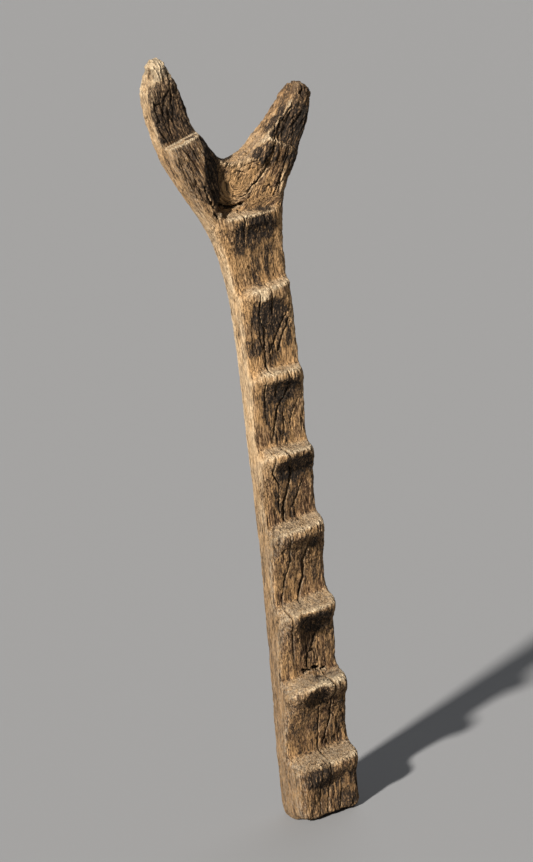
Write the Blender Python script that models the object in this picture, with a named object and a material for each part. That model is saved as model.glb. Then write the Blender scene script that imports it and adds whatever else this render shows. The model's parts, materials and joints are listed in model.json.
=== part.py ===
"""A forked notched log ladder, hewn from one forked tree trunk.

Metres. +Z runs up the trunk from the flat foot, the treads face -Y, and +X is to the right
of someone who climbs it. The origin is the middle of the foot, where the flat face lies.
The uncut log is a closed loft that splits into two limbs at the crotch. Subdivision rounds
it. Cutters for the treads, the valley beside the top tread and the two ledges of the fork
then take the wood away.
"""

import math

import bmesh
import bpy
from mathutils import Matrix

NODE_NAME = "notched_ladder_log"

# Colour of the bare, weathered wood.
WOOD_COLOUR = (0.24, 0.15, 0.075, 1.0)
WOOD_ROUGHNESS = 0.85

# A trunk ring starts at the middle of the front and runs by the right side.
RING_POINTS = 16
HALF_RING = RING_POINTS // 2
SADDLE_POINTS = 5
SUBDIVISION_LEVELS = 1

# Height, middle in X, half width, front face in Y, back face in Y, squareness of the section.
TRUNK_STATIONS = [
    (-0.050, 0.007, 0.086, -0.058, 0.061, 4.4),
    (0.040, 0.008, 0.089, -0.062, 0.063, 4.4),
    (0.130, 0.009, 0.089, -0.070, 0.064, 4.4),
    (0.235, 0.009, 0.083, -0.068, 0.063, 4.4),
    (0.325, 0.010, 0.079, -0.067, 0.062, 4.4),
    (0.505, 0.012, 0.076, -0.064, 0.060, 4.4),
    (0.605, 0.012, 0.071, -0.060, 0.058, 4.2),
    (0.700, 0.011, 0.070, -0.058, 0.056, 4.0),
    (0.880, 0.010, 0.069, -0.054, 0.054, 4.0),
    (1.063, 0.009, 0.067, -0.049, 0.052, 3.8),
    (1.155, 0.008, 0.066, -0.047, 0.051, 3.6),
    (1.250, 0.004, 0.068, -0.046, 0.051, 3.4),
    (1.325, -0.003, 0.073, -0.046, 0.051, 3.2),
    (1.390, -0.012, 0.087, -0.046, 0.051, 3.0),
    (1.445, -0.019, 0.110, -0.046, 0.051, 3.0),
]

# The ring at the crotch bends up in the middle, and a saddle of points crosses it front to back.
CROTCH_X = -0.038
CROTCH_RISE = 0.040
CROTCH_HEIGHT = 1.538

# Middle in X, height, half width, half depth, lean from upright in degrees, squareness.
LEFT_LIMB_STATIONS = [
    (-0.113, 1.526, 0.053, 0.048, 26.0, 3.2),
    (-0.143, 1.592, 0.047, 0.046, 20.0, 4.4),
    (-0.157, 1.622, 0.041, 0.044, 15.0, 5.0),
    (-0.168, 1.668, 0.040, 0.042, 11.0, 5.0),
    (-0.177, 1.730, 0.039, 0.038, 7.0, 4.0),
    (-0.180, 1.773, 0.027, 0.027, 4.0, 3.0),
]
LEFT_TIP = (-0.180, 1.785)
RIGHT_LIMB_STATIONS = [
    (0.055, 1.510, 0.060, 0.048, -35.0, 3.2),
    (0.091, 1.560, 0.048, 0.045, -31.0, 4.4),
    (0.118, 1.600, 0.041, 0.042, -28.0, 5.0),
    (0.144, 1.641, 0.034, 0.036, -27.0, 4.0),
    (0.159, 1.664, 0.024, 0.025, -27.0, 3.0),
]
RIGHT_TIP = (0.165, 1.674)
LIMB_MIDDLE_Y = 0.003

# Nose height, depth, sideways tilt in degrees and fall towards the front in degrees.
TREADS = [
    (0.135, 0.064, 0.9, 15.0),
    (0.325, 0.060, -0.3, 14.0),
    (0.505, 0.058, 3.3, 17.0),
    (0.699, 0.050, 3.1, 13.0),
    (0.880, 0.044, -3.7, 9.0),
    (1.063, 0.030, -4.3, 9.0),
    (1.250, 0.032, 2.7, 11.0),
]

# The top tread lies under the fork. Its notch is deepest at the valley beside the left limb,
# and comes forward on the right: nose height, depth, tilt, fall, end of the notch, turn about Z.
TOP_TREAD = (1.418, 0.028, -2.1, 12.0, 1.565, 11.0)
TOP_NOTCH_X = (-0.070, 0.140)

# The wedge taken off the left limb beside the top tread: places in X and Y, and its height range.
VALLEY_WEDGE = [(-0.124, -0.050), (-0.068, -0.016), (-0.060, -0.110), (-0.124, -0.110)]
VALLEY_HEIGHTS = (1.436, 1.585)

# Share of the way from a nose down to the next tread, and share of the depth reached there.
RISER_CURVE = [(0.10, 0.00), (0.15, 0.22), (0.25, 0.47), (0.42, 0.70), (0.60, 0.86), (0.80, 0.98)]
TREAD_FILLET = 0.006
CUTTER_REACH = 0.050
TRUNK_CUTTER_X = (-0.110, 0.120)

# A ledge of the fork: X, height, depth, slope along X in degrees, length of the flat above it.
LEDGES = [
    (-0.150, 1.603, 0.026, 15.0, 0.150),
    (0.092, 1.550, 0.015, -32.0, 0.110),
]
LEDGE_CURVE = [(0.00, 1.00), (0.30, 0.92), (0.60, 0.72), (0.85, 0.40), (1.00, 0.00)]
LEDGE_CUTTER_X = (-0.080, 0.080)


def signed_power(value, power):
    return math.copysign(abs(value) ** power, value)


def section_point(turn, half_x, half_y, squareness):
    """A point of a superellipse, turned from the front (-Y) towards the right (+X)."""
    power = 2.0 / squareness
    return half_x * signed_power(math.sin(turn), power), -half_y * signed_power(math.cos(turn), power)


def trunk_ring(mesh, station):
    height, middle_x, half_width, front, back, squareness = station
    ring = []
    for index in range(RING_POINTS):
        turn = 2.0 * math.pi * index / RING_POINTS
        x, y = section_point(turn, half_width, (back - front) / 2.0, squareness)
        ring.append(mesh.verts.new((middle_x + x, (front + back) / 2.0 + y, height)))
    return ring


def bend_to_crotch(ring):
    """Lifts the front and back middles of the top ring, and moves them to the crotch."""
    middle_x = ring[0].co.x
    for index, vertex in enumerate(ring):
        share = math.cos(2.0 * math.pi * index / RING_POINTS) ** 2
        vertex.co.z += CROTCH_RISE * share
        vertex.co.x += (CROTCH_X - middle_x) * share


def saddle(mesh, front, back):
    """Points that arch over the crotch from the front of the top ring to its back."""
    points = []
    for index in range(1, SADDLE_POINTS + 1):
        turn = math.pi * index / (SADDLE_POINTS + 1)
        y = (front.co.y + back.co.y) / 2.0 - (back.co.y - front.co.y) / 2.0 * math.cos(turn)
        z = front.co.z + (CROTCH_HEIGHT - front.co.z) * math.sin(turn) ** 0.7
        points.append(mesh.verts.new((CROTCH_X, y, z)))
    return points


def limb_turns(side):
    """Angles of a limb's ring: half of the trunk's points outside, the saddle's points inside."""
    start = 0.0 if side > 0 else math.pi
    outer = [start + math.pi * index / HALF_RING for index in range(HALF_RING + 1)]
    inner = [start + math.pi + math.pi * index / (SADDLE_POINTS + 1) for index in range(1, SADDLE_POINTS + 1)]
    return outer + inner


def limb_ring(mesh, station, turns):
    middle_x, height, half_width, half_depth, lean, squareness = station
    lean = math.radians(lean)
    ring = []
    for turn in turns:
        across, y = section_point(turn, half_width, half_depth, squareness)
        x = middle_x + across * math.cos(lean)
        z = height + across * math.sin(lean)
        ring.append(mesh.verts.new((x, LIMB_MIDDLE_Y + y, z)))
    return ring


def join_rings(mesh, lower, upper):
    count = len(lower)
    for index in range(count):
        after = (index + 1) % count
        mesh.faces.new((lower[index], lower[after], upper[after], upper[index]))


def close_with_fan(mesh, ring, point):
    tip = mesh.verts.new(point)
    count = len(ring)
    for index in range(count):
        mesh.faces.new((ring[index], ring[(index + 1) % count], tip))


def limb(mesh, root_ring, stations, side, tip):
    turns = limb_turns(side)
    below = root_ring
    for station in stations:
        ring = limb_ring(mesh, station, turns)
        join_rings(mesh, below, ring)
        below = ring
    close_with_fan(mesh, below, (tip[0], LIMB_MIDDLE_Y, tip[1]))


def uncut_log():
    """The forked log before any tread is cut, as one closed loft."""
    mesh = bmesh.new()
    rings = [trunk_ring(mesh, station) for station in TRUNK_STATIONS]
    bend_to_crotch(rings[-1])
    for lower, upper in zip(rings, rings[1:]):
        join_rings(mesh, lower, upper)
    top = rings[-1]
    bridge = saddle(mesh, top[0], top[HALF_RING])
    right_root = top[: HALF_RING + 1] + bridge[::-1]
    left_root = top[HALF_RING:] + [top[0]] + bridge
    limb(mesh, right_root, RIGHT_LIMB_STATIONS, 1, RIGHT_TIP)
    limb(mesh, left_root, LEFT_LIMB_STATIONS, -1, LEFT_TIP)
    mesh.faces.new(rings[0][::-1])
    bmesh.ops.recalc_face_normals(mesh, faces=mesh.faces)
    return mesh


def add_object(name, mesh):
    data = bpy.data.meshes.new(name)
    mesh.to_mesh(data)
    mesh.free()
    data.shade_smooth()
    item = bpy.data.objects.new(name, data)
    bpy.context.scene.collection.objects.link(item)
    return item


def hide_cutter(item):
    item.hide_render = True
    item.display_type = "WIRE"


def front_at(height):
    """The front face of the uncut log in Y, at this height."""
    for lower, upper in zip(TRUNK_STATIONS, TRUNK_STATIONS[1:]):
        if height <= upper[0]:
            share = (height - lower[0]) / (upper[0] - lower[0])
            return lower[3] + (upper[3] - lower[3]) * share
    return TRUNK_STATIONS[-1][3]


def prism(name, outline, reach, place, tilt, turn=0.0):
    """A cutter: an outline of (Y, Z) points drawn out over a reach in X, tilted and set in place."""
    mesh = bmesh.new()
    near = [mesh.verts.new((reach[0], y, z)) for y, z in outline]
    far = [mesh.verts.new((reach[1], y, z)) for y, z in outline]
    join_rings(mesh, near, far)
    mesh.faces.new(near)
    mesh.faces.new(far[::-1])
    bmesh.ops.recalc_face_normals(mesh, faces=mesh.faces)
    tilted = Matrix.Rotation(math.radians(-tilt), 4, "Y")
    turned = Matrix.Rotation(math.radians(-turn), 4, "Z")
    bmesh.ops.transform(mesh, matrix=Matrix.Translation(place) @ tilted @ turned, verts=mesh.verts)
    item = add_object(name, mesh)
    item.data.set_sharp_from_angle(angle=math.radians(35.0))
    hide_cutter(item)
    return item


def tread_outline(nose, depth, fall, nose_above):
    """Front to back along the tread, then up the hollow riser to the nose of the next tread."""
    slope = math.tan(math.radians(fall))
    front = front_at(nose)
    outline = [
        (front - CUTTER_REACH, -CUTTER_REACH * slope),
        (front + depth - TREAD_FILLET, (depth - TREAD_FILLET) * slope),
        (front + depth, depth * slope + TREAD_FILLET),
    ]
    rise = nose_above - nose
    for down, share in reversed(RISER_CURVE):
        height = rise * (1.0 - down)
        outline.append((front_at(nose + height) + depth * share, height))
    outline.append((outline[-1][0] - CUTTER_REACH, outline[-1][1]))
    return outline


def tread_cutters():
    cutters = []
    noses_above = [tread[0] for tread in TREADS[1:]] + [TOP_TREAD[0]]
    for number, (tread, nose_above) in enumerate(zip(TREADS, noses_above), start=1):
        nose, depth, tilt, fall = tread
        outline = tread_outline(nose, depth, fall, nose_above)
        cutters.append(prism(f"tread_cutter_{number}", outline, TRUNK_CUTTER_X, (0.0, 0.0, nose), tilt))
    nose, depth, tilt, fall, end, turn = TOP_TREAD
    outline = tread_outline(nose, depth, fall, end)
    cutters.append(prism("top_tread_cutter", outline, TOP_NOTCH_X, (0.0, 0.0, nose), tilt, turn))
    return cutters


def ledge_cutters():
    """Each takes the front off a limb above its ledge, and runs out towards the tip."""
    cutters = []
    front = LIMB_MIDDLE_Y - LEFT_LIMB_STATIONS[1][3]
    for number, (x, height, depth, slope, length) in enumerate(LEDGES, start=1):
        outline = [(front - CUTTER_REACH, 0.0)]
        outline += [(front + depth * share, length * up) for up, share in LEDGE_CURVE]
        outline.append((front - CUTTER_REACH, length))
        cutters.append(prism(f"ledge_cutter_{number}", outline, LEDGE_CUTTER_X, (x, 0.0, height), slope))
    return cutters


def valley_cutter():
    """A wedge that slopes the left limb down to the valley beside the top tread."""
    mesh = bmesh.new()
    low, high = [[mesh.verts.new((x, y, z)) for x, y in VALLEY_WEDGE] for z in VALLEY_HEIGHTS]
    join_rings(mesh, low, high)
    mesh.faces.new(low)
    mesh.faces.new(high[::-1])
    bmesh.ops.recalc_face_normals(mesh, faces=mesh.faces)
    item = add_object("valley_cutter", mesh)
    hide_cutter(item)
    return item


def foot_cutter():
    """A block that saws the foot off flat at the origin's height."""
    mesh = bmesh.new()
    bmesh.ops.create_cube(mesh, size=0.4)
    bmesh.ops.translate(mesh, verts=mesh.verts, vec=(0.0, 0.0, -0.2))
    item = add_object("foot_cutter", mesh)
    hide_cutter(item)
    return item


def wood():
    material = bpy.data.materials.new("weathered_wood")
    material.use_nodes = True
    shader = material.node_tree.nodes["Principled BSDF"]
    shader.inputs["Base Color"].default_value = WOOD_COLOUR
    shader.inputs["Roughness"].default_value = WOOD_ROUGHNESS
    shader.inputs["Metallic"].default_value = 0.0
    return material


def ladder_log():
    log = add_object(NODE_NAME, uncut_log())
    log.data.materials.append(wood())
    rounding = log.modifiers.new("rounding", "SUBSURF")
    rounding.levels = SUBDIVISION_LEVELS
    rounding.render_levels = SUBDIVISION_LEVELS
    for cutter in [foot_cutter()] + tread_cutters() + [valley_cutter()] + ledge_cutters():
        cut = log.modifiers.new(cutter.name, "BOOLEAN")
        cut.operation = "DIFFERENCE"
        cut.solver = "EXACT"
        cut.object = cutter


def clear_scene():
    for item in list(bpy.data.objects):
        bpy.data.objects.remove(item, do_unlink=True)


clear_scene()
ladder_log()
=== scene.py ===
"""Looks of the forked notched log ladder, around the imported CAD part.

The CAD solid is turned into a fine distance field. Its edges are worn round, its risers are
hollowed, and drying cracks, holes and torn fibres are cut into it. The surface of that field
is the visible log. The wood's colours come from attributes of its points and from noise that
follows the grain.
"""

import json
import math

import bpy
import numpy as np
import openvdb
from mathutils import Matrix, Vector


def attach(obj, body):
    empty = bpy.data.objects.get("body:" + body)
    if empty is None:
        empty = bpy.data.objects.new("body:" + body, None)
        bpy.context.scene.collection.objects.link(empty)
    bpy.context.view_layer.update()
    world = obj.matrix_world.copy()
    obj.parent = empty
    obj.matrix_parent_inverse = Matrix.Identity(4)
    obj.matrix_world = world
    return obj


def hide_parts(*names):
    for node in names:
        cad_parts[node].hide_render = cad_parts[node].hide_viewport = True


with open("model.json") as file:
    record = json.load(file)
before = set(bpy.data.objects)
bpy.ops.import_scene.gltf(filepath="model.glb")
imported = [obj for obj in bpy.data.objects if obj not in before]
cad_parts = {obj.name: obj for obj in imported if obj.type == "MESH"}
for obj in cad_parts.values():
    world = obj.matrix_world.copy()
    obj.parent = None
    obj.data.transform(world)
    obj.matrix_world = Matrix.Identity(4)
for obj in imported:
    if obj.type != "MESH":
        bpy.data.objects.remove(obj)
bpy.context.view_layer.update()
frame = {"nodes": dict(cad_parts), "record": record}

NODE = "notched_ladder_log"

# Distance field: size of a cell in metres, and cells that it holds on each side of the surface
# and that it reaches past the solid.
VOXEL = 0.002
BAND_VOXELS = 12
MARGIN_VOXELS = 10

# Passes of the two blurs that tell convex places from hollow ones.
LIGHT_BLUR = 4
HEAVY_BLUR = 26

# Wear of the trunk's front left corner: half width of each running mean in cells, number of
# means, strength, and the most that it can take off in metres.
CORNER_HALF_WIDTH = 13
CORNER_PASSES = 3
CORNER_WEAR = 1.15
CORNER_LIMIT = 0.014

# Camera: direction it looks from and tilt of the picture in degrees, distance and target in
# metres, focal length and sensor in millimetres, and how far it sees in metres.
CAMERA_AZIMUTH = -28.0
CAMERA_ELEVATION = 17.0
CAMERA_ROLL = 6.9
CAMERA_DISTANCE = 6.0
CAMERA_TARGET = (-0.020, 0.0, 0.925)
CAMERA_LENS = 113.9
CAMERA_SENSOR = 36.0
CAMERA_REACH = 200.0

# Height of each tread at its nose, from the foot up, worked out from the free space over it.
# The space over tread 1 to 7 starts 9 mm over the nose, and the space over the top tread 3 mm.
OPENINGS = {item["name"]: item["box_m"] for item in frame["record"]["physics"]["openings"]}
NOTCHES = 7
NOSES = [OPENINGS[f"notch_{k}_front"][0][2] - 0.009 for k in range(1, NOTCHES + 1)]
NOSES.append(OPENINGS["notch_8"][0][2] - 0.003)

# Heights on the fork: where the limbs part, the left limb's ledge, and where each tip is torn.
FORK = 1.440
LEFT_LEDGE = 1.605
LEFT_TIP = 1.735
RIGHT_TIP = 1.632


# ---------------------------------------------------------------- noise

class Noise:
    """Gradient noise with a fixed seed, for arrays of points. It gives about -1 to 1."""

    def __init__(self, seed):
        draw = np.random.default_rng(seed)
        self.table = draw.permutation(256).astype(np.int32)
        gradients = draw.normal(size=(256, 3))
        gradients /= np.linalg.norm(gradients, axis=1)[:, None]
        self.gradients = gradients.astype(np.float32)

    def __call__(self, x, y, z):
        x, y, z = (np.asarray(value, np.float32) for value in np.broadcast_arrays(x, y, z))
        cells = [np.floor(value).astype(np.int32) for value in (x, y, z)]
        local = [value - cell for value, cell in zip((x, y, z), cells)]
        fade = [value * value * value * (value * (value * 6.0 - 15.0) + 10.0) for value in local]
        total = np.zeros(x.shape, np.float32)
        for corner in range(8):
            step = (corner & 1, corner >> 1 & 1, corner >> 2 & 1)
            index = self.table[(cells[0] + step[0]) & 255]
            index = self.table[(index + cells[1] + step[1]) & 255]
            index = self.table[(index + cells[2] + step[2]) & 255]
            slope = self.gradients[index]
            value = sum(slope[..., axis] * (local[axis] - step[axis]) for axis in range(3))
            for axis in range(3):
                value = value * (fade[axis] if step[axis] else 1.0 - fade[axis])
            total += value
        return total * 1.5

    def fractal(self, x, y, z, octaves=3, gain=0.5):
        total, weight, size = 0.0, 1.0, 0.0
        for octave in range(octaves):
            scale = 2.03 ** octave
            shift = 17.3 * octave
            total = total + weight * self(x * scale + shift, y * scale, z * scale)
            size += weight
            weight *= gain
        return total / size


CRACK_WANDER = Noise(11)
RAGGED = Noise(12)
HEWN = Noise(21)
FIBRE = Noise(22)
CHECK = Noise(23)
PIT = Noise(24)
WEAR = Noise(25)
TONE = Noise(26)


def smooth(low, high, value):
    """0 below low, 1 above high, and a smooth turn between."""
    share = np.clip((value - low) / (high - low), 0.0, 1.0)
    return share * share * (3.0 - 2.0 * share)


# ---------------------------------------------------------------- grain

# Middle lines of the left limb and the trunk, and the line between the limbs: height and X.
LEFT_PATH = [
    (1.250, -0.004), (1.325, -0.030), (1.390, -0.062), (1.445, -0.090), (1.526, -0.117),
    (1.592, -0.143), (1.668, -0.168), (1.730, -0.177), (1.785, -0.180),
]
TRUNK_PATH = [(0.0, 0.008), (0.505, 0.012), (0.880, 0.010), (1.250, 0.004), (1.325, -0.003), (1.445, -0.015)]
VALLEY_PATH = [(1.400, -0.100), (1.436, -0.086), (1.460, -0.074), (1.540, -0.068)]

# The grain swirls round a place at the root of the right limb, then runs along that limb. Place
# in X and Z, direction of the limb, and how far from the swirl's middle the limb's own middle is.
SWIRL = (-0.028, 1.486)
SWIRL_LEAN = (0.50, 0.866)
RIGHT_LIMB_OFFSET = 0.070

# The left limb leans, so its width along X counts a little less across the grain.
LEFT_LIMB_COSINE = 0.94


def along(path, z):
    """The place on a path of (height, place) points at each height."""
    heights, places = zip(*path)
    return np.interp(z, heights, places)


def valley_x(z):
    return along(VALLEY_PATH, z)


def grain_coordinates(x, y, z):
    """Distance across the grain (two of them) and distance along it, in metres."""
    trunk_u = x - along(TRUNK_PATH, z)
    left_u = (x - along(LEFT_PATH, z)) * LEFT_LIMB_COSINE
    across_x = x - SWIRL[0]
    across_z = z - SWIRL[1]
    forward = across_x * SWIRL_LEAN[0] + across_z * SWIRL_LEAN[1]
    sideways = across_x * SWIRL_LEAN[1] - across_z * SWIRL_LEAN[0]
    radius = np.where(forward > 0.0, np.abs(sideways), np.hypot(across_x, across_z))
    right_u = radius - RIGHT_LIMB_OFFSET
    turn = np.arctan2(-forward, np.abs(sideways) + 1e-6)
    right_w = np.where(forward > 0.0, forward, -turn * np.maximum(radius, 0.01))
    is_left = x < valley_x(z)
    limb_left = smooth(1.26, FORK, z) * is_left
    limb_right = smooth(1.425, 1.450, z) * (1.0 - is_left)
    u = trunk_u * (1.0 - limb_left - limb_right) + left_u * limb_left + right_u * limb_right
    w = z * (1.0 - limb_right) + (right_w + SWIRL[1]) * limb_right
    return u, y, w


# ---------------------------------------------------------------- distance field

def cad_mesh():
    """The CAD solid's points, each only once, and its triangles."""
    data = frame["nodes"][NODE].data
    data.calc_loop_triangles()
    points = np.empty(len(data.vertices) * 3, np.float32)
    data.vertices.foreach_get("co", points)
    corners = np.empty(len(data.loop_triangles) * 3, np.int32)
    data.loop_triangles.foreach_get("vertices", corners)
    points = points.reshape(-1, 3)
    points, index = np.unique(np.round(points, 6), axis=0, return_inverse=True)
    return points.astype(np.float32), index.reshape(-1)[corners].reshape(-1, 3)


class Field:
    """Distance to the wood's surface in metres, on a regular grid: below zero in the wood."""

    def __init__(self, points, triangles):
        transform = openvdb.createLinearTransform(voxelSize=VOXEL)
        grid = openvdb.FloatGrid.createLevelSetFromPolygons(
            points, triangles=triangles.astype(np.uint32), transform=transform, halfWidth=BAND_VOXELS
        )
        self.first = np.floor(points.min(0) / VOXEL).astype(int) - MARGIN_VOXELS
        last = np.ceil(points.max(0) / VOXEL).astype(int) + MARGIN_VOXELS
        self.values = np.empty(tuple(last - self.first + 1), np.float32)
        grid.copyToArray(self.values, ijk=tuple(int(value) for value in self.first))

    def blur(self, passes):
        """Each pass mixes every cell with its neighbours along each axis, as 1 2 1."""
        for _ in range(passes):
            for axis in range(3):
                view = np.moveaxis(self.values, axis, 0)
                view[1:-1] = 0.25 * (view[:-2] + view[2:]) + 0.5 * view[1:-1]

    def box_blur(self, part, axis, half_width, passes):
        """A wide blur of some of the cells along one axis, by repeated running means."""
        view = np.moveaxis(self.values[part].copy(), axis, 0)
        width = 2 * half_width + 1
        for _ in range(passes):
            padded = np.pad(view, [(half_width + 1, half_width), (0, 0), (0, 0)], mode="edge")
            total = np.cumsum(padded, axis=0, dtype=np.float64)
            view = ((total[width:] - total[:-width]) / width).astype(np.float32)
        return np.moveaxis(view, 0, axis)

    def region(self, low, high):
        """The slices of a box, and the coordinates of its cells, ready to broadcast."""
        slices, places = [], []
        for axis in range(3):
            start = max(int(math.floor(low[axis] / VOXEL)) - self.first[axis], 0)
            stop = min(int(math.ceil(high[axis] / VOXEL)) - self.first[axis] + 1, self.values.shape[axis])
            slices.append(slice(start, stop))
            shape = [1, 1, 1]
            shape[axis] = -1
            cells = (np.arange(start, stop) + self.first[axis]) * VOXEL
            places.append(cells.astype(np.float32).reshape(shape))
        return tuple(slices), places

    def near_surface(self, width):
        """Indices of the cells near the surface, and their coordinates."""
        index = np.nonzero(np.abs(self.values) < width)
        places = [((part + start) * VOXEL).astype(np.float32) for part, start in zip(index, self.first)]
        return index, places

    def cut_flat(self):
        """Cuts the wood off level with the floor."""
        heights = (np.arange(self.values.shape[2]) + self.first[2]) * VOXEL
        np.maximum(self.values, -heights[None, None, :].astype(np.float32), out=self.values)

    def quads(self):
        """The points and the four-sided faces of the surface."""
        grid = openvdb.FloatGrid(BAND_VOXELS * VOXEL)
        grid.copyFromArray(self.values, ijk=tuple(int(value) for value in self.first))
        grid.transform = openvdb.createLinearTransform(voxelSize=VOXEL)
        return grid.convertToQuads(isovalue=0.0)


def smooth_max(a, b, radius):
    """The larger of two distances, with the edge where they meet rounded."""
    overlap = np.clip(radius - np.abs(a - b), 0.0, None) / radius
    return np.maximum(a, b) + overlap * overlap * radius * 0.25


def wear_edges(field):
    """Rounds the edges by an uneven amount: more towards the foot, and less on the limbs."""
    field.blur(LIGHT_BLUR)
    light = field.values.copy()
    field.blur(HEAVY_BLUR)
    heavy = field.values
    field.values = light
    index, (x, y, z) = field.near_surface(0.014)
    convex = np.clip(heavy[index] - light[index], 0.0, None)
    u, v, w = grain_coordinates(x, y, z)
    torn = WEAR.fractal(u * 150.0, v * 150.0, w * 22.0, octaves=2)
    broad = WEAR(u * 22.0 + 5.0, v * 22.0, w * 12.0)
    low_share = 1.0 - smooth(0.35, 1.30, z)
    amount = 0.30 + 0.50 * low_share + 0.45 * torn + 0.25 * broad
    limbs = smooth(1.50, 1.53, z) * (1.0 - smooth(1.68, 1.74, z))
    amount = amount * (1.0 - 0.7 * limbs)
    field.values[index] += (np.clip(amount, 0.0, 1.3) * convex).astype(np.float32)


def round_left_corner(field):
    """Wears the trunk's front left corner to a broad, soft bevel, up to the fork."""
    slices, (x, y, z) = field.region((-0.150, -0.100, 0.0), (0.050, 0.040, 1.480))
    worn = field.box_blur(slices, 0, CORNER_HALF_WIDTH, CORNER_PASSES)
    share = smooth(0.000, 0.030, -y) * (1.0 - smooth(-0.030, 0.030, x)) * (1.0 - smooth(1.38, 1.45, z))
    values = field.values[slices]
    field.values[slices] = values + CORNER_WEAR * share * np.clip(worn - values, 0.0, CORNER_LIMIT)


# ---------------------------------------------------------------- cracks

FRONT, BACK, LEFT, RIGHT = "front", "back", "left", "right"

# The front's cracks have weathered wider than the widths in the list.
CRACK_WIDENING = 1.35

# Drying cracks of the front: number of the tread from whose nose the heights count, half width and
# depth, then the places, as X and height over that nose, all in millimetres.
FRONT_CRACKS = [
    (1, 1.4, 7.0, [(-12, -2), (-17, -40), (-24, -126)]),
    (1, 1.5, 9.0, [(9, 4), (6, -20), (8, -56), (-4, -122)]),
    (1, 1.3, 7.0, [(38, -60), (35, -99), (26, -128)]),
    (2, 1.9, 11.0, [(42, 8), (46, -31), (44, -71), (44, -108), (33, -136), (24, -166)]),
    (2, 1.6, 9.0, [(12, -60), (14, -139), (10, -184)]),
    (3, 2.2, 12.0, [(39, -60), (21, -106), (9, -123), (8, -160)]),
    (3, 1.4, 8.0, [(-40, 12), (-38, -20), (-30, -70), (-26, -150)]),
    (4, 1.4, 8.0, [(-21, 0), (-10, -80), (-23, -119), (-38, -186)]),
    (4, 3.0, 15.0, [(36, -40), (22, -90), (23, -128), (13, -155), (1, -186)]),
    (4, 1.5, 8.0, [(14, 4), (20, -22), (17, -60)]),
    (5, 1.4, 8.0, [(-27, 8), (-32, -45), (-16, -75), (-16, -150)]),
    (5, 2.6, 13.0, [(0, 8), (9, -30), (15, -58), (5, -103), (-4, -125), (-7, -170)]),
    (5, 1.5, 7.0, [(46, -80), (25, -126), (15, -142)]),
    (6, 1.4, 8.0, [(-27, 6), (-25, -58), (-23, -125)]),
    (6, 1.6, 9.0, [(-3, -8), (-1, -58)]),
    (6, 1.9, 9.0, [(27, 0), (31, -43), (6, -83), (-2, -121), (-12, -165)]),
    (6, 1.3, 6.0, [(59, -72), (40, -104), (34, -131)]),
    (6, 1.3, 6.0, [(18, -98), (21, -135), (13, -165)]),
    (7, 1.8, 10.0, [(11, 8), (14, -65)]),
    (7, 1.6, 8.0, [(-16, -2), (-17, -50), (-10, -96)]),
    (7, 2.6, 7.0, [(-8, -80), (-9, -138), (-11, -190)]),
    (7, 1.9, 8.0, [(52, -60), (30, -92), (14, -123), (-2, -151)]),
    (7, 1.8, 8.0, [(56, -74), (36, -112), (22, -150)]),
    (8, 1.3, 7.0, [(-32, 10), (-34, -30), (-30, -60)]),
    (8, 1.3, 6.0, [(122, 216), (69, 154)]),
    (8, 1.3, 6.0, [(109, 229), (48, 163)]),
    (8, 1.5, 7.0, [(96, 196), (58, 128), (34, 84), (6, 52)]),
    (8, 1.5, 7.0, [(76, 178), (52, 122), (24, 74), (-8, 46)]),
    (8, 1.2, 6.0, [(110, 160), (92, 118), (70, 70), (62, 40)]),
    (8, 1.2, 6.0, [(-52, 78), (-48, 52), (-28, 36), (-8, 40), (8, 62)]),
    (8, 1.1, 5.0, [(-44, 88), (-26, 96), (-4, 88)]),
    (8, 1.1, 5.0, [(-18, 104), (14, 110), (38, 136)]),
    (8, 1.2, 5.0, [(-160, 340), (-166, 300), (-162, 262)]),
    (8, 1.0, 5.0, [(-186, 352), (-184, 318), (-190, 280)]),
]

# Long drying cracks of the other faces: the same, with Y in place of X on the sides.
OTHER_CRACKS = [
    (BACK, 1, 2.2, 14.0, [(-10, -140), (-14, 60), (-4, 240), (-9, 420)]),
    (BACK, 4, 2.6, 15.0, [(24, -60), (18, 120), (28, 260), (20, 400)]),
    (BACK, 6, 1.8, 12.0, [(-30, -30), (-38, 120), (-46, 260), (-74, 420)]),
    (BACK, 7, 1.8, 12.0, [(2, -20), (18, 120), (44, 250)]),
    (BACK, 2, 1.4, 9.0, [(46, -60), (50, 60), (44, 170)]),
    (RIGHT, 2, 1.8, 11.0, [(22, -190), (26, 20), (20, 210)]),
    (RIGHT, 5, 1.6, 10.0, [(8, -40), (14, 130), (10, 290)]),
    (LEFT, 1, 1.3, 8.0, [(30, -60), (34, 80), (30, 190)]),
    (LEFT, 5, 1.2, 7.0, [(26, -120), (30, 20), (28, 130)]),
]


def path_distance(a, b, path):
    """Distance in a plane from each point to a path, and how far along the path it is, 0 to 1."""
    best = np.full(np.broadcast(a, b).shape, 1e9, np.float32)
    share = np.zeros_like(best)
    lengths = [math.dist(p, q) for p, q in zip(path, path[1:])]
    done = 0.0
    for (p, q), length in zip(zip(path, path[1:]), lengths):
        along_a, along_b = (q[0] - p[0]) / length, (q[1] - p[1]) / length
        t = np.clip((a - p[0]) * along_a + (b - p[1]) * along_b, 0.0, length)
        gap = np.hypot(a - p[0] - t * along_a, b - p[1] - t * along_b)
        closer = gap < best
        best = np.where(closer, gap, best)
        share = np.where(closer, (done + t) / sum(lengths), share)
        done += length
    return best, share


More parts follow.
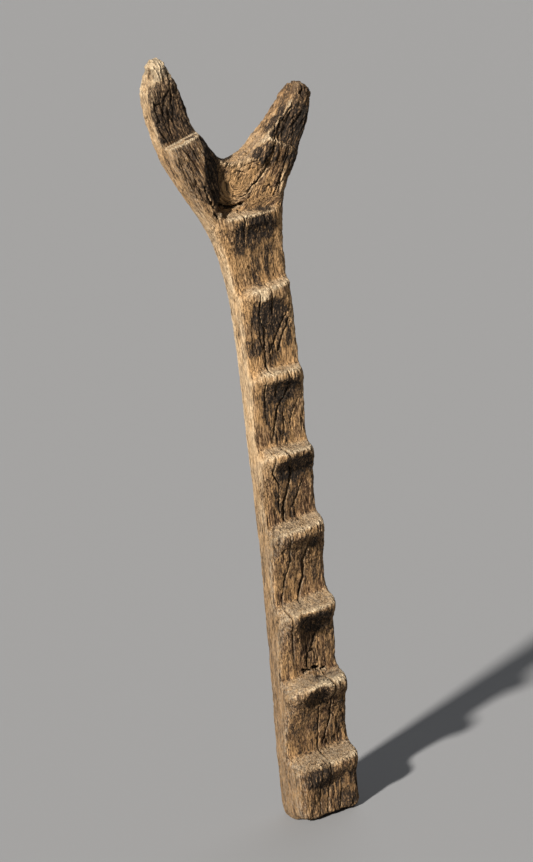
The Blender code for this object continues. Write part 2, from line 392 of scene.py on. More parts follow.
def crack(field, side, path, width, depth):
    """Cuts a V-shaped crack along a path of (across, height) points. It narrows to both ends."""
    reach = width + 0.004
    across = [p[0] for p in path]
    heights = [p[1] for p in path]
    low = [min(across) - reach, min(across) - reach, min(heights) - reach]
    high = [max(across) + reach, max(across) + reach, max(heights) + reach]
    if side in (FRONT, BACK):
        low[1], high[1] = (-0.080, 0.002) if side == FRONT else (0.010, 0.080)
    else:
        low[0], high[0] = (-0.230, -0.020) if side == LEFT else (0.030, 0.200)
    slices, (x, y, z) = field.region(low, high)
    flat = x if side in (FRONT, BACK) else y
    wander = 0.0016 * CRACK_WANDER(z * 60.0, across[0] * 90.0, 0.5)
    wander = wander + 0.0008 * CRACK_WANDER(z * 170.0, 3.5, heights[0])
    gap, share = path_distance(flat + wander, z, path)
    taper = np.sqrt(np.clip(4.0 * share * (1.0 - share), 0.0, 1.0)) * 0.75 + 0.25
    values = field.values[slices]
    cut = width * taper * (1.0 + values / depth) - gap
    field.values[slices] = np.maximum(values, cut.astype(np.float32))


def path_over_nose(tread, places):
    """Places in millimetres, with their heights over a tread's nose, as a path in metres."""
    return [(across / 1000.0, NOSES[tread - 1] + height / 1000.0) for across, height in places]


def cut_cracks(field):
    for tread, width, depth, places in FRONT_CRACKS:
        path = path_over_nose(tread, places)
        crack(field, FRONT, path, CRACK_WIDENING * width / 1000.0, depth / 1000.0)
    for side, tread, width, depth, places in OTHER_CRACKS:
        crack(field, side, path_over_nose(tread, places), width / 1000.0, depth / 1000.0)


# ---------------------------------------------------------------- carved shapes

# Box that a hollow riser stays in: its X, its Y, and how far it goes under and over the nose.
HOLLOW_HALF_WIDTH = 0.110
HOLLOW_FRONT, HOLLOW_BACK = -0.095, 0.020
HOLLOW_UNDER, HOLLOW_OVER = 0.180, 0.006

# Deepest that the foot's front and the third riser are hollowed.
HOLLOW_DEPTH = 0.016

# Crest of the ridge at the left of a hollow. Of the foot: height and X. Of the third riser:
# height over the nose above it, and X.
FOOT_CREST = [
    (0.000, -0.048), (0.045, -0.050), (0.086, -0.044), (0.104, -0.030), (0.114, -0.006), (0.120, 0.020),
]
THIRD_CREST = [(-0.141, 0.006), (-0.110, -0.002), (-0.031, -0.024), (0.005, -0.037)]

# Sloping faces that narrow the tips: a place on each in X and Z, and the next place on it, with
# the wood at the right of the line from one to the other.
TIP_FACES = [
    ((-0.208, 1.708), (-0.189, 1.767)),
    ((-0.156, 1.764), (-0.144, 1.706)),
    ((0.059, 1.576), (0.141, 1.664)),
]
TIP_LIMIT = 0.020

# The crotch is worn to a round trough: place in X and Z, and radius.
TROUGH = (-0.030, 1.572)
TROUGH_RADIUS = 0.030


def bowl(x, z, centre, half_size):
    """1 in the middle of a rounded patch and 0 outside it."""
    reach = np.hypot((x - centre[0]) / half_size[0], (z - centre[1]) / half_size[1])
    return np.clip(1.0 - reach ** 2.0, 0.0, 1.0)


def foot_front(x, z):
    right_of_crest = smooth(-0.012, 0.044, x - along(FOOT_CREST, z))
    shallow_right = 1.0 - 0.60 * smooth(0.020, 0.090, x)
    under_nose = 1.0 - smooth(0.080, 0.124, z)
    shallow_foot = 0.45 + 0.55 * smooth(0.0, 0.05, z)
    return HOLLOW_DEPTH * right_of_crest * shallow_right * under_nose * shallow_foot


def second_riser(x, z):
    return 0.009 * bowl(x, z, (0.004, NOSES[1] - 0.030), (0.036, 0.028))


def third_riser(x, z):
    nose = NOSES[2]
    past_crest = x - along(THIRD_CREST, z - nose)
    right_of_crest = smooth(-0.002, 0.020, past_crest)
    shallow_right = 1.0 - 0.55 * smooth(0.030, 0.075, past_crest)
    down = np.clip((nose - z) / 0.150, 0.0, 1.0)
    under_nose = 1.0 - smooth(nose - 0.036, nose - 0.004, z)
    return right_of_crest * shallow_right * (HOLLOW_DEPTH - 0.010 * down) * under_nose


def fifth_riser(x, z):
    return 0.004 * bowl(x, z, (0.024, NOSES[4] - 0.040), (0.050, 0.036))


# The treads whose risers are worn hollow, and how deep at each X and Z.
HOLLOWS = [(1, foot_front), (2, second_riser), (3, third_riser), (5, fifth_riser)]


def hollow(field, nose, depth_at):
    """Lowers the front of the wood under a nose by a depth worked out at each X and Z."""
    low = (-HOLLOW_HALF_WIDTH, HOLLOW_FRONT, nose - HOLLOW_UNDER)
    high = (HOLLOW_HALF_WIDTH, HOLLOW_BACK, nose + HOLLOW_OVER)
    slices, (x, y, z) = field.region(low, high)
    depth = depth_at(x, z) * smooth(0.006, 0.020, -y)
    field.values[slices] += depth.astype(np.float32)


def narrow_tips(field):
    for start, end in TIP_FACES:
        length = math.dist(start, end)
        along_x, along_z = (end[0] - start[0]) / length, (end[1] - start[1]) / length
        low = (min(start[0], end[0]) - 0.050, -0.080, min(start[1], end[1]) - 0.060)
        high = (max(start[0], end[0]) + 0.050, 0.080, max(start[1], end[1]) + 0.040)
        slices, (x, y, z) = field.region(low, high)
        outside = (z - start[1]) * along_x - (x - start[0]) * along_z
        torn = 0.0016 * RAGGED(x * 60.0, y * 60.0, z * 40.0)
        fade = TIP_LIMIT * (1.0 - smooth(0.025, 0.095, z - low[2]))
        cut = (outside + torn - fade).astype(np.float32)
        field.values[slices] = smooth_max(field.values[slices], np.minimum(cut, TIP_LIMIT), 0.010)


def wear_trough(field):
    """Cuts a round trough through the crotch, front to back."""
    slices, (x, y, z) = field.region((-0.064, -0.070, 1.535), (0.004, 0.070, 1.610))
    inside = TROUGH_RADIUS - np.hypot(x - TROUGH[0], z - TROUGH[1]) + 0.0 * y
    field.values[slices] = smooth_max(field.values[slices], inside.astype(np.float32), 0.006)


def carve(field):
    narrow_tips(field)
    round_left_corner(field)
    for tread, depth_at in HOLLOWS:
        hollow(field, NOSES[tread - 1], depth_at)
    wear_trough(field)
    ragged_holes(field)
    ragged_foot(field)


# Ragged holes under the fork and behind the second tread: places in X and Z along each, half
# width and depth.
RAGGED_HOLES = [
    ([(-0.082, 1.450), (-0.064, 1.444), (-0.041, 1.437), (-0.020, 1.440)], 0.0042, 0.016),
    ([(-0.098, 1.436), (-0.090, 1.426)], 0.0034, 0.010),
    ([(-0.118, 1.500), (-0.114, 1.482), (-0.104, 1.462)], 0.0030, 0.008),
    ([(-0.098, 1.560), (-0.104, 1.540), (-0.100, 1.522)], 0.0022, 0.006),
    ([(-0.004, 0.352), (0.012, 0.348)], 0.0054, 0.016),
    ([(0.024, 0.352), (0.038, 0.344)], 0.0062, 0.018),
    ([(0.046, 0.340), (0.052, 0.344)], 0.0044, 0.014),
]
HOLE_LIMIT = 0.016


def ragged_holes(field):
    for path, width, depth in RAGGED_HOLES:
        across = [p[0] for p in path]
        heights = [p[1] for p in path]
        low = (min(across) - 0.012, -0.080, min(heights) - 0.012)
        high = (max(across) + 0.012, 0.010, max(heights) + 0.012)
        slices, (x, y, z) = field.region(low, high)
        gap, _ = path_distance(x, z, path)
        torn = RAGGED(x * 170.0, y * 60.0, z * 170.0) + 0.5 * RAGGED(x * 340.0, y * 120.0, z * 340.0)
        values = field.values[slices]
        cut = width * (0.85 + 1.1 * torn) * np.clip(1.0 + values / depth, 0.0, 1.0) - gap
        cut = np.where(values > -depth, cut, -HOLE_LIMIT)
        field.values[slices] = np.maximum(values, cut.astype(np.float32))


def ragged_foot(field):
    """Breaks splinters out of the front lower edge."""
    slices, (x, y, z) = field.region((-0.070, -0.090, -0.010), (0.110, -0.020, 0.030))
    torn = RAGGED.fractal(x * 75.0, 4.0, 0.5) + 0.0 * y
    reach = 0.008 * np.clip(torn + 0.10, 0.0, 1.0) + 0.002
    cut = (reach - z) * 0.9 - np.clip(y + 0.050, 0.0, 1.0)
    field.values[slices] = smooth_max(field.values[slices], cut.astype(np.float32), 0.002)


# ---------------------------------------------------------------- surface

def sample(values, first, points):
    """Trilinear value of a dense array at points in metres."""
    place = points / VOXEL - first
    base = np.floor(place).astype(int)
    base = np.clip(base, 0, np.array(values.shape) - 2)
    part = (place - base).astype(np.float32)
    total = np.zeros(len(points), np.float32)
    for corner in range(8):
        step = (corner & 1, corner >> 1 & 1, corner >> 2 & 1)
        weight = np.ones(len(points), np.float32)
        for axis in range(3):
            weight = weight * (part[:, axis] if step[axis] else 1.0 - part[:, axis])
        total += weight * values[base[:, 0] + step[0], base[:, 1] + step[1], base[:, 2] + step[2]]
    return total


def point_normals(points, quads):
    """The direction out of the surface at each point, as the mean of the faces round it."""
    first_side = points[quads[:, 2]] - points[quads[:, 0]]
    second_side = points[quads[:, 3]] - points[quads[:, 1]]
    across = np.cross(first_side, second_side)
    normals = np.zeros_like(points)
    for corner in range(4):
        for axis in range(3):
            normals[:, axis] += np.bincount(quads[:, corner], across[:, axis], len(points))
    return normals / np.maximum(np.linalg.norm(normals, axis=1), 1e-12)[:, None]


def ridged(value, width):
    """1 along the zero lines of a noise, and 0 away from them."""
    return 1.0 - smooth(0.0, width, np.abs(value))


def relief(points, normals, convex):
    """How far each point moves out along its normal in metres, and how deep in a check it is."""
    x, y, z = points.T
    u, v, w = grain_coordinates(x, y, z)
    rough = 1.0 + 0.6 * smooth(FORK - 0.01, FORK + 0.03, z)
    hewn = 0.0013 * HEWN.fractal(u * 17.0, v * 17.0, w * 9.0, octaves=2)
    facets = 0.0012 * HEWN(u * 45.0 + 9.0, v * 45.0, w * 28.0)
    ridges = 0.0013 * FIBRE.fractal(u * 130.0, v * 130.0, w * 34.0, octaves=3, gain=0.65)
    fibres = 0.0007 * FIBRE(u * 270.0 + 3.0, v * 270.0, w * 90.0)
    check = CHECK.fractal(u * 62.0, v * 62.0, w * 5.5, octaves=2)
    where = smooth(-0.25, 0.25, CHECK(u * 11.0 + 40.0, v * 11.0, w * 6.0))
    near = ridged(check, 0.085) * where
    fine_check = CHECK.fractal(u * 120.0 + 7.0, v * 120.0, w * 13.0, octaves=2)
    fine = ridged(fine_check, 0.110) * smooth(-0.1, 0.3, CHECK(u * 24.0, v * 24.0 + 9.0, w * 14.0))
    checks = -0.0032 * near - 0.0018 * fine
    edge = smooth(0.0003, 0.0030, convex)
    ends = smooth(LEFT_TIP - 0.007, LEFT_TIP + 0.015, z)
    ends = ends + smooth(RIGHT_TIP - 0.007, RIGHT_TIP + 0.013, z) * (x > 0.0)
    strands = FIBRE.fractal(u * 110.0 + 20.0, v * 14.0, w * 14.0, octaves=2, gain=0.6)
    torn = np.clip(0.7 * edge * (normals[:, 1] < 0.3) + 1.5 * ends, 0.0, 1.5)
    strands = 0.0026 * (0.5 - ridged(strands, 0.30)) * torn
    pits = -0.0024 * smooth(0.55, 0.78, PIT(x * 95.0, y * 95.0, z * 60.0))
    crumble = 0.0013 * FIBRE.fractal(x * 230.0, y * 90.0, z * 160.0, octaves=2) * edge
    total = (hewn + facets + ridges + fibres + checks) * rough + pits + crumble + strands
    flat_foot = 1.0 - smooth(0.0, 0.006, z)
    depth = np.clip(near + 0.6 * fine + 0.8 * ends * (strands < -0.0002), 0.0, 1.0)
    return total * (1.0 - flat_foot * (normals[:, 2] < -0.5)), depth


def add_mesh(name, points, quads, attributes):
    data = bpy.data.meshes.new(name)
    data.vertices.add(len(points))
    data.vertices.foreach_set("co", points.astype(np.float32).ravel())
    data.loops.add(quads.size)
    data.loops.foreach_set("vertex_index", quads.astype(np.int32).ravel())
    data.polygons.add(len(quads))
    data.polygons.foreach_set("loop_start", np.arange(0, quads.size, 4, dtype=np.int32))
    data.polygons.foreach_set("use_smooth", np.ones(len(quads), bool))
    data.update(calc_edges=True)
    data.validate()
    for label, values in attributes.items():
        if values.ndim == 2:
            layer = data.attributes.new(label, "FLOAT_VECTOR", "POINT")
            layer.data.foreach_set("vector", values.astype(np.float32).ravel())
        else:
            layer = data.attributes.new(label, "FLOAT", "POINT")
            layer.data.foreach_set("value", values.astype(np.float32))
    item = bpy.data.objects.new(name, data)
    bpy.context.scene.collection.objects.link(item)
    return item


# ---------------------------------------------------------------- tones

# Dark patches of the front, under the noses: stains on the upper risers, and mostly painted shade with some
# stain under the noses and over the fronts of treads 1 to 4. Number of the tread above, middle X and height
# under its nose, half width and half height, all in millimetres, and how strong.
NOSE_STAINS_AND_SHADE = [
    (1, -18, 28, 44, 34, 0.75),
    (1, 10, 70, 74, 72, 0.34),
    (2, 4, 28, 38, 30, 0.60),
    (2, 16, 90, 66, 90, 0.30),
    (3, 28, 40, 46, 34, 0.80),
    (3, 26, 90, 56, 90, 0.26),
    (4, 48, 48, 16, 14, 0.60),
    (4, 16, 90, 60, 90, 0.16),
    (5, 26, 44, 50, 38, 0.95),
    (5, 8, 104, 32, 60, 0.42),
    (6, 14, 46, 50, 34, 1.35),
    (6, 4, 104, 34, 60, 0.42),
    (7, 8, 62, 46, 50, 1.45),
    (7, -34, 128, 20, 22, 0.60),
    (7, 44, 110, 16, 30, 0.36),
    (7, 2, 120, 26, 50, 0.38),
    (8, 6, 30, 40, 42, 1.60),
    (8, -42, 46, 15, 44, 1.20),
    (8, -6, 110, 12, 56, 0.48),
    (8, 26, 92, 16, 44, 0.44),
]

# A bleached patch on the nose of tread 7: X, height under the nose, and half size.
BLEACHED = (-0.008, 0.014, 0.013)

# The golden wood in the middle of the swirl: place in X and Z, and radius.
GOLDEN = (-0.024, 1.478)
GOLDEN_RADIUS = 0.060

# The right limb's length is measured from its ledge, along the limb: place in X and Z, direction.
RIGHT_LEDGE = (0.090, 1.550)
RIGHT_LEAN = (0.53, 0.85)


def blob(across, upright, half_across, half_upright):
    """1 in the middle of a soft rounded patch, 0 at its rim, and below 0 outside."""
    reach = (np.abs(across / half_across) ** 2.5 + np.abs(upright / half_upright) ** 2.5) ** 0.4
    return 1.0 - reach


def patch(value, low, high, soft):
    """1 from low to high and 0 outside, with soft ends."""
    return smooth(low - soft, low + soft, value) * (1.0 - smooth(high - soft, high + soft, value))


class Places:
    """Where each point of the log is, and shares from 0 to 1 of which way it faces."""

    def __init__(self, points, normals):
        self.x, self.y, self.z = points.T
        self.u, self.v, self.w = grain_coordinates(*points.T)
        self.normals = normals
        self.front = smooth(0.05, 0.55, -normals[:, 1])
        self.side = smooth(0.35, 0.9, -normals[:, 0])
        self.top = smooth(0.45, 0.9, normals[:, 2])
        self.left = self.x < valley_x(self.z)
        self.right = 1.0 - self.left
        across = (self.x - RIGHT_LEDGE[0]) * RIGHT_LEAN[0]
        self.along_right = across + (self.z - RIGHT_LEDGE[1]) * RIGHT_LEAN[1]
        self.right_limb = self.right * smooth(0.000, 0.020, self.along_right)
        self.tips = smooth(LEFT_TIP, LEFT_TIP + 0.030, self.z)
        self.tips = self.tips + self.right * smooth(RIGHT_TIP, RIGHT_TIP + 0.023, self.z)
        self.ledge = patch(self.z, 1.560, 1.640, 0.010) * smooth(0.30, 0.60, normals[:, 2]) * self.front


def limb_fronts(at):
    """How much each point counts as the front of a limb. Parts of the left edges count too."""
    facing = smooth(0.15, 0.6, -at.normals[:, 1])
    over_ledge = at.left * smooth(0.008, 0.018, -at.y) * smooth(LEFT_LEDGE - 0.005, LEFT_LEDGE + 0.005, at.z)
    under_ledge = at.left * smooth(-0.010, 0.005, -at.y) * patch(at.z, FORK + 0.010, LEFT_LEDGE - 0.005, 0.02)
    right_end = at.right * smooth(-0.012, 0.006, -at.y) * smooth(1.57, 1.59, at.z)
    return np.maximum.reduce([facing, over_ledge, under_ledge, right_end])


# Stains, and painted shade under the noses and over the fronts of the lower treads.
def stain_and_shade_under_noses(at):
    stain_and_shade = np.full(len(at.x), -1.0, np.float32)
    for tread, middle, under, half_across, half_upright, strength in NOSE_STAINS_AND_SHADE:
        height = NOSES[tread - 1] - under / 1000.0
        shape = blob(at.x - middle / 1000.0, at.z - height, half_across / 1000.0, half_upright / 1000.0)
        stain_and_shade = np.maximum(stain_and_shade, np.minimum(1.4 * shape + 0.36, strength))
    stain_and_shade = np.where(at.y < 0.0, stain_and_shade, -1.0)
    return stain_and_shade * np.where(stain_and_shade > 0.0, at.front, 1.0)


def stain_on_limbs(at, facing):
    left_end = np.where(at.left, 0.85 * patch(at.z, LEFT_LEDGE - 0.005, LEFT_TIP, 0.018) - 0.1, -1.0)
    left_root = np.where(at.left, 0.30 * patch(at.z, FORK, LEFT_LEDGE + 0.005, 0.03), -1.0)
    right_end = np.where(at.left, -1.0, 0.80 * patch(at.along_right, 0.0, 0.100, 0.012))
    right_root = np.where(at.left, -1.0, 0.66 * patch(at.along_right, -0.055, 0.0, 0.02))
    limbs = np.maximum.reduce([left_end, left_root, right_end, right_root])
    return limbs * facing - 1.2 * at.ledge


def valley_wall_shade_and_stain(at):
    """The side of the left limb that faces the crotch, darkened where it faces right, away from the key
    light: painted shade, with some stain.
    """
    facing_right = smooth(0.05, 0.5, at.normals[:, 0])
    wall = 1.15 * patch(at.z, FORK + 0.010, LEFT_LEDGE - 0.005, 0.03) * facing_right
    return np.where(at.left | (at.x < -0.05), wall, -1.0)


def rim_share(at, convex):
    """How worn and pale an edge is: most where it faces up, and less at the left limb's root."""
    upward = at.normals[:, 2]
    rims = smooth(0.0006, 0.0034, convex)
    rims = rims * (1.0 - 0.75 * (1.0 - smooth(0.85, 1.10, at.z)) * (1.0 - smooth(0.05, 0.40, upward)))
    rims = rims * (1.0 - 0.60 * at.left * patch(at.z, FORK - 0.010, LEFT_LEDGE - 0.010, 0.010))
    upper_noses = smooth(0.80, 0.95, at.z) * (1.0 - smooth(FORK, FORK + 0.020, at.z))
    return rims * (1.0 - 0.55 * (1.0 - smooth(0.05, 0.45, upward)) * at.front * upper_noses)


def paleness(at, rims, bleached):
    crisp = 0.95 + 0.45 * smooth(0.80, 1.00, at.z)
    upper = smooth(0.20, 1.00, at.z)
    pale = crisp * rims + (0.02 + 0.55 * upper) * at.side * (1.0 - at.right_limb) + 0.55 * at.top
    pale = (pale + 0.5 * at.tips * at.left) * (1.0 - 0.80 * at.right_limb)
    pale = pale * (1.0 - 0.5 * at.right * smooth(1.50, 1.53, at.z))
    pale = pale * (1.0 - 0.5 * at.left * patch(at.z, FORK + 0.010, LEFT_LEDGE - 0.010, 0.010)) + at.ledge
    pale = pale * (1.0 - 0.45 * at.right * at.top * patch(at.z, 1.500, 1.600, 0.010))
    strands = smooth(0.10, 0.35, TONE(at.u * 160.0, at.v * 40.0, at.w * 12.0))
    pale = pale + 0.3 * at.right_limb * at.tips * strands
    return np.clip(pale + 1.6 * bleached, 0.0, 1.5)


def greyness(at):
    low = 1.0 - smooth(0.15, 0.75, at.z)
    back = smooth(0.3, 0.9, at.normals[:, 1])
    corner = smooth(0.15, 0.50, -at.normals[:, 0]) * smooth(0.15, 0.50, -at.normals[:, 1])
    corner = corner * (1.0 - smooth(0.70, 0.95, at.z))
    limbs = at.front * (0.45 * at.left * smooth(FORK, FORK + 0.040, at.z) + 0.30 * at.right_limb)
    grey = 0.08 + 0.42 * low * (1.0 - at.front) + 0.25 * back + 0.25 * at.top + 0.55 * corner + limbs
    return np.clip(grey, 0.0, 1.0)


def goldenness(at):
    from_swirl = np.hypot(at.x - GOLDEN[0], at.z - GOLDEN[1]) / GOLDEN_RADIUS
    trunk = at.front * smooth(0.70, 1.00, at.z) * (1.0 - smooth(FORK - 0.040, FORK, at.z))
    return np.maximum(trunk, (1.0 - smooth(0.6, 1.3, from_swirl)) * at.right) + 0.35 * at.side


def tones(points, normals, convex, cavity, groove):
    """The attributes that the material reads: coordinates along the grain, and shares."""
    at = Places(points, normals)
    u, v, w = at.u, at.v, at.w
    wobble = 0.45 * TONE.fractal(u * 55.0, v * 30.0, w * 22.0, octaves=3, gain=0.6)
    wobble = wobble + 0.30 * TONE.fractal(u * 150.0 + 7.0, v * 60.0, w * 22.0, octaves=2, gain=0.6)
    facing = limb_fronts(at)
    rims = rim_share(at, convex)
    across, under, half = BLEACHED
    bleached = smooth(0.0, 0.5, blob(at.x - across, at.z - (NOSES[6] - under), half, half)) * at.front

    # Stains, with painted shade under the lower noses and on the valley wall.
    stain_and_shade = np.maximum.reduce([stain_and_shade_under_noses(at), stain_on_limbs(at, facing), valley_wall_shade_and_stain(at)])
    stain_and_shade = stain_and_shade + wobble * (stain_and_shade > -0.9)
    stain_and_shade = stain_and_shade - 1.2 * bleached - 0.70 * rims * (at.z < FORK) - 0.5 * at.tips * at.left
    stain_and_shade = np.maximum(stain_and_shade, at.right_limb * (0.20 + 0.26 * at.tips) + wobble)

    left_end = at.left * patch(at.z, LEFT_LEDGE + 0.005, LEFT_TIP - 0.005, 0.010) * facing
    low = 1.0 - smooth(0.55, 1.05, at.z)
    return {
        "grain": np.stack([u, v, w], axis=1),
        "stain_and_shade": stain_and_shade,
        "pale": paleness(at, rims, bleached),
        "grey": greyness(at),
        "gold": goldenness(at),
        "rust": np.clip(at.right_limb * at.tips + 0.6 * left_end, 0.0, 1.0),
        "even": np.clip(at.side + 0.8 * at.top, 0.0, 1.0),
        "dull": low * np.clip(1.0 - 1.2 * at.front + at.side, 0.0, 1.0),
        "cavity": smooth(0.0001, 0.0020, -cavity),
        "groove": groove,
    }


# ---------------------------------------------------------------- material

class Wood:
    """A material under construction. Most methods add nodes and give their output."""

    def __init__(self, name):
        self.material = bpy.data.materials.new(name)
        self.material.use_nodes = True
        self.tree = self.material.node_tree
        self.shader = self.tree.nodes["Principled BSDF"]

    def node(self, kind, **settings):
        node = self.tree.nodes.new(kind)
        for key, value in settings.items():
            setattr(node, key, value)
        return node

    def put(self, socket, value):
        if isinstance(value, bpy.types.NodeSocket):
            self.tree.links.new(value, socket)
        else:
            socket.default_value = value

    def attribute(self, name, vector=False):
        node = self.node("ShaderNodeAttribute", attribute_name=name)
        return node.outputs["Vector" if vector else "Fac"]

    def scaled(self, vector, scale, shift=(0.0, 0.0, 0.0)):
        node = self.node("ShaderNodeVectorMath", operation="MULTIPLY_ADD")
        self.put(node.inputs[0], vector)
        self.put(node.inputs[1], scale)
        self.put(node.inputs[2], shift)
        return node.outputs[0]

    def noise(self, vector, detail, roughness):
        node = self.node("ShaderNodeTexNoise")
        self.put(node.inputs["Vector"], vector)
        self.put(node.inputs["Scale"], 1.0)
        self.put(node.inputs["Detail"], detail)
        self.put(node.inputs["Roughness"], roughness)
        return node.outputs["Fac"]

    def math(self, operation, a, b=0.0, c=0.0):
        node = self.node("ShaderNodeMath", operation=operation)
        self.put(node.inputs[0], a)
        self.put(node.inputs[1], b)
        self.put(node.inputs[2], c)
        return node.outputs[0]

    def mixed(self, share, a, b):
        """The number a, moved by a share towards b."""
        return self.math("MULTIPLY_ADD", self.math("SUBTRACT", b, a), share, a)

    def centred(self, value):
        return self.math("SUBTRACT", value, 0.5)

    def weigh(self, *parts):
        """The sum of values, each times its weight."""
        total = 0.0
        for value, weight in parts:
            total = self.math("MULTIPLY_ADD", value, weight, total)
        return total

    def grey_of(self, value):
        node = self.node("ShaderNodeCombineColor")
        for socket in node.inputs[:3]:
            self.put(socket, value)
        return node.outputs[0]

    def ramp(self, value, low, high, bottom=0.0, top=1.0):
        node = self.node("ShaderNodeMapRange", interpolation_type="SMOOTHSTEP")
        names = ("Value", "From Min", "From Max", "To Min", "To Max")
        for name, part in zip(names, (value, low, high, bottom, top)):
            self.put(node.inputs[name], part)
        return node.outputs[0]

    def mix(self, share, a, b, blend="MIX"):
        node = self.node("ShaderNodeMix", data_type="RGBA", blend_type=blend)
        self.put(node.inputs[0], share)
        for socket, value in ((node.inputs[6], a), (node.inputs[7], b)):
            self.put(socket, value if isinstance(value, bpy.types.NodeSocket) else (*value, 1.0))
        return node.outputs[2]


# Colours of bare wood from dark to bleached, of weathered grey, and of what stains it. The stain black and
# the dirt colour also paint shade.
UMBER = (0.052, 0.026, 0.012)
BROWN = (0.165, 0.084, 0.036)
TAN = (0.432, 0.268, 0.132)
HONEY = (0.545, 0.308, 0.126)
PALE = (0.690, 0.530, 0.335)
GREY = (0.275, 0.235, 0.180)
STAIN_AND_SHADE_BLACK = (0.013, 0.010, 0.008)
DIRT_AND_SHADE = (0.024, 0.015, 0.009)
RUST = (0.150, 0.088, 0.046)
AMBER = (0.330, 0.180, 0.062)


def wood_material():
    """Mottled wood, bleached, greyed and stained where the attributes say so, with painted shade under the
    lower noses, on the valley wall, in the hollows and in the grooves.
    """
    wood = Wood("weathered_wood_looks")
    grain = wood.attribute("grain", vector=True)
    fibre = wood.noise(wood.scaled(grain, (400.0, 400.0, 42.0)), detail=3.0, roughness=0.60)
    streak = wood.noise(wood.scaled(grain, (110.0, 110.0, 13.0), (3.0, 1.0, 7.0)), detail=6.0, roughness=0.66)
    cloud = wood.noise(wood.scaled(grain, (34.0, 34.0, 17.0), (9.0, 4.0, 2.0)), detail=6.0, roughness=0.68)
    fleck = wood.noise(wood.scaled(grain, (300.0, 300.0, 150.0), (5.0, 8.0, 1.0)), detail=4.0, roughness=0.70)
    crack = wood.noise(wood.scaled(grain, (95.0, 95.0, 6.0), (1.0, 2.0, 3.0)), detail=3.0, roughness=0.50)
    stain_and_shade = wood.attribute("stain_and_shade")
    pale = wood.attribute("pale")
    grey = wood.attribute("grey")
    gold = wood.attribute("gold")
    rust = wood.attribute("rust")
    even = wood.attribute("even")
    dull = wood.attribute("dull")
    cavity = wood.attribute("cavity")
    groove = wood.attribute("groove")

    # Bare wood, then bleaching and weathered grey over it.
    mottle = wood.weigh((streak, 0.36), (fibre, 0.26), (fleck, 0.16), (cloud, 0.22), (gold, 0.034))
    mottle = wood.mixed(wood.math("MULTIPLY", even, 0.60), mottle, 0.505)
    colour = wood.mix(wood.ramp(mottle, 0.40, 0.50), UMBER, BROWN)
    colour = wood.mix(wood.ramp(mottle, 0.46, 0.56), colour, TAN)
    warm = wood.ramp(wood.weigh((cloud, 0.6), (streak, 0.4), (gold, 0.050)), 0.48, 0.57)
    colour = wood.mix(wood.math("MULTIPLY", warm, 0.75), colour, HONEY)
    bright = wood.ramp(wood.weigh((fibre, 0.4), (streak, 0.4), (fleck, 0.2)), 0.38, 0.58)
    bleach = wood.math("MULTIPLY", pale, wood.mixed(wood.math("MULTIPLY", even, 0.55), bright, 0.70))
    colour = wood.mix(wood.math("MINIMUM", bleach, 0.92), colour, PALE)
    dulled = wood.math("MULTIPLY", grey, wood.ramp(wood.weigh((fleck, 0.6), (cloud, 0.4)), 0.42, 0.58))
    colour = wood.mix(wood.math("MINIMUM", dulled, 0.85), colour, GREY)

    # Stains, and painted shade under the lower noses and on the valley wall, with an amber fringe, worn bare
    # in flecks, and rusty in places.
    uneven = wood.weigh((wood.centred(streak), 2.4), (wood.centred(fibre), 1.0), (wood.centred(cloud), 1.8))
    stain_and_shade_level = wood.math("ADD", stain_and_shade, uneven)
    colour = wood.mix(wood.ramp(stain_and_shade_level, 0.06, 0.34, 0.0, 0.40), colour, AMBER)
    dark = wood.ramp(stain_and_shade_level, 0.30, 0.54, 0.0, 0.97)
    rubbed = wood.weigh((fleck, 0.45), (streak, 0.35), (fibre, 0.20), (rust, 0.020))
    dark = wood.math("MULTIPLY", dark, wood.ramp(rubbed, 0.545, 0.61, 1.0, 0.15))
    rusty = wood.ramp(wood.weigh((fleck, 0.5), (streak, 0.5), (rust, 0.05)), 0.48, 0.58)
    soot_and_shade = wood.mix(wood.math("MULTIPLY", rusty, 0.85), STAIN_AND_SHADE_BLACK, RUST)
    colour = wood.mix(dark, colour, soot_and_shade)

    # Dirt in the fine cracks, painted shade with dirt in the hollows and the grooves, and lighter and darker
    # fibres.
    line = wood.ramp(wood.math("ABSOLUTE", wood.centred(crack)), 0.003, 0.016, 1.0, 0.0)
    colour = wood.mix(wood.math("MULTIPLY", line, wood.mixed(even, 0.55, 0.20)), colour, DIRT_AND_SHADE)
    # Painted shade with dirt: hollows and cut cracks darken towards the dirt colour by their concavity.
    colour = wood.mix(wood.math("MULTIPLY", cavity, 0.90), colour, DIRT_AND_SHADE)
    # Painted shade with dirt: the checks of the relief darken by their depth.
    colour = wood.mix(wood.math("MULTIPLY", groove, 0.60), colour, DIRT_AND_SHADE)
    shade = wood.ramp(wood.weigh((fibre, 0.6), (fleck, 0.4)), 0.38, 0.62, 0.55, 1.30)
    shade = wood.mixed(wood.math("MULTIPLY", even, 0.40), shade, 0.94)
    shade = wood.math("MULTIPLY", shade, wood.mixed(dull, 1.0, 0.68))
    colour = wood.mix(1.0, colour, wood.grey_of(shade), "MULTIPLY")
    wood.put(wood.shader.inputs["Base Color"], colour)
    wood.put(wood.shader.inputs["Roughness"], wood.ramp(fleck, 0.3, 0.7, 0.95, 0.70))
    wood.shader.inputs["Specular IOR Level"].default_value = 0.25

    height = wood.weigh((fibre, 0.8), (streak, 1.3), (fleck, 0.7), (line, -0.35))
    bump = wood.node("ShaderNodeBump")
    bump.inputs["Strength"].default_value = 1.0
    bump.inputs["Distance"].default_value = 0.0045
    wood.put(bump.inputs["Height"], height)
    wood.put(wood.shader.inputs["Normal"], bump.outputs[0])
    return wood.material


# ---------------------------------------------------------------- studio

FLOOR_HALF_SIZE = 60.0
FLOOR_GREY = (0.225, 0.225, 0.228, 1.0)
WORLD_COLOUR = (0.92, 0.96, 1.0, 1.0)
WORLD_STRENGTH = 0.13

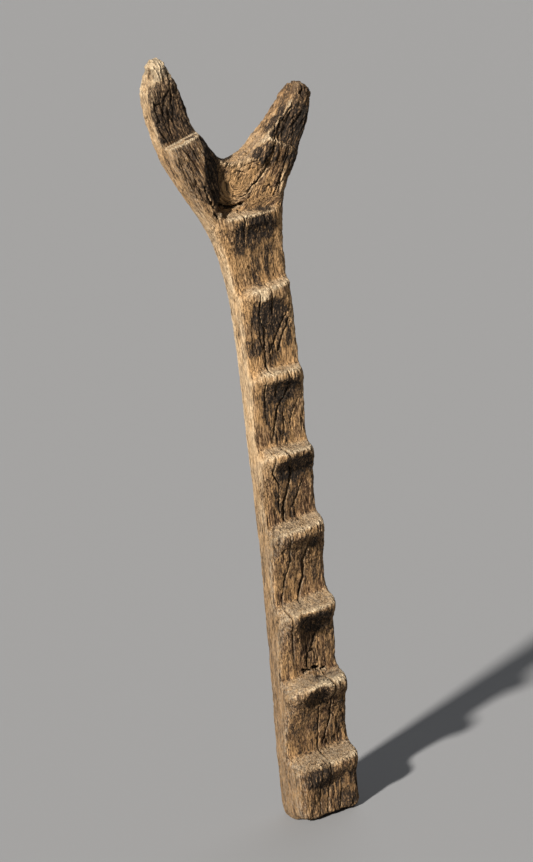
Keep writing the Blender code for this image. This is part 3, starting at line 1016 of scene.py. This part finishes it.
# Suns: name, azimuth and elevation in degrees, strength, softness in degrees, and colour.
SUNS = [
    ("key", -66.0, 33.0, 7.8, 4.0, (1.0, 0.97, 0.92)),
    ("back_fill", 128.0, 38.0, 0.9, 60.0, (0.95, 0.97, 1.0)),
]


def direction(azimuth, elevation):
    """Unit vector towards a place at these angles, in degrees. Azimuth 0 is in front of the treads."""
    turn, rise = math.radians(azimuth), math.radians(elevation)
    return Vector((math.sin(turn) * math.cos(rise), -math.cos(turn) * math.cos(rise), math.sin(rise)))


def add_camera():
    back = direction(CAMERA_AZIMUTH, CAMERA_ELEVATION)
    turn = math.radians(CAMERA_AZIMUTH)
    level = Vector((math.cos(turn), math.sin(turn), 0.0))
    roll = math.radians(CAMERA_ROLL)
    right = math.cos(roll) * level - math.sin(roll) * back.cross(level)
    up = back.cross(right)
    data = bpy.data.cameras.new("camera")
    data.lens = CAMERA_LENS
    data.sensor_width = CAMERA_SENSOR
    data.clip_end = CAMERA_REACH
    camera = bpy.data.objects.new("camera", data)
    place = Matrix.Translation(Vector(CAMERA_TARGET) + CAMERA_DISTANCE * back)
    camera.matrix_world = place @ Matrix((right, up, back)).transposed().to_4x4()
    bpy.context.scene.collection.objects.link(camera)
    bpy.context.scene.camera = camera


def add_sun(name, azimuth, elevation, strength, softness, colour):
    data = bpy.data.lights.new(name, "SUN")
    data.energy = strength
    data.angle = math.radians(softness)
    data.color = colour
    light = bpy.data.objects.new(name, data)
    light.rotation_euler = direction(azimuth, elevation).to_track_quat("Z", "Y").to_euler()
    bpy.context.scene.collection.objects.link(light)


def add_floor():
    half = FLOOR_HALF_SIZE
    corners = [(-half, -half, 0.0), (half, -half, 0.0), (half, half, 0.0), (-half, half, 0.0)]
    data = bpy.data.meshes.new("floor")
    data.from_pydata(corners, [], [(0, 1, 2, 3)])
    floor = bpy.data.objects.new("floor", data)
    material = bpy.data.materials.new("floor_grey")
    material.use_nodes = True
    shader = material.node_tree.nodes["Principled BSDF"]
    shader.inputs["Base Color"].default_value = FLOOR_GREY
    shader.inputs["Roughness"].default_value = 0.9
    shader.inputs["Specular IOR Level"].default_value = 0.1
    data.materials.append(material)
    bpy.context.scene.collection.objects.link(floor)


def add_studio():
    add_floor()
    world = bpy.data.worlds.new("studio")
    world.use_nodes = True
    background = world.node_tree.nodes["Background"]
    background.inputs["Color"].default_value = WORLD_COLOUR
    background.inputs["Strength"].default_value = WORLD_STRENGTH
    bpy.context.scene.world = world
    for light in SUNS:
        add_sun(*light)
    bpy.context.scene.view_settings.view_transform = "Standard"


# ---------------------------------------------------------------- build

def build_log():
    field = Field(*cad_mesh())
    wear_edges(field)
    carve(field)
    cut_cracks(field)
    field.cut_flat()
    points, quads = field.quads()

    field.blur(LIGHT_BLUR)
    cavity = sample(field.values, field.first, points)
    field.blur(HEAVY_BLUR)
    convex = sample(field.values, field.first, points)

    normals = point_normals(points, quads)
    if (normals * (points - points.mean(0))).sum() < 0.0:
        quads = quads[:, ::-1]
        normals = -normals
    move, groove = relief(points, normals, convex)
    points = points + normals * move[:, None]
    points[:, 2] = np.maximum(points[:, 2], 0.0)

    log = add_mesh("weathered_log", points, quads, tones(points, normals, convex, cavity, groove))
    log.data.materials.append(wood_material())
    return log


log = build_log()
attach(log, "root")
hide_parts(NODE)
add_studio()
add_camera()
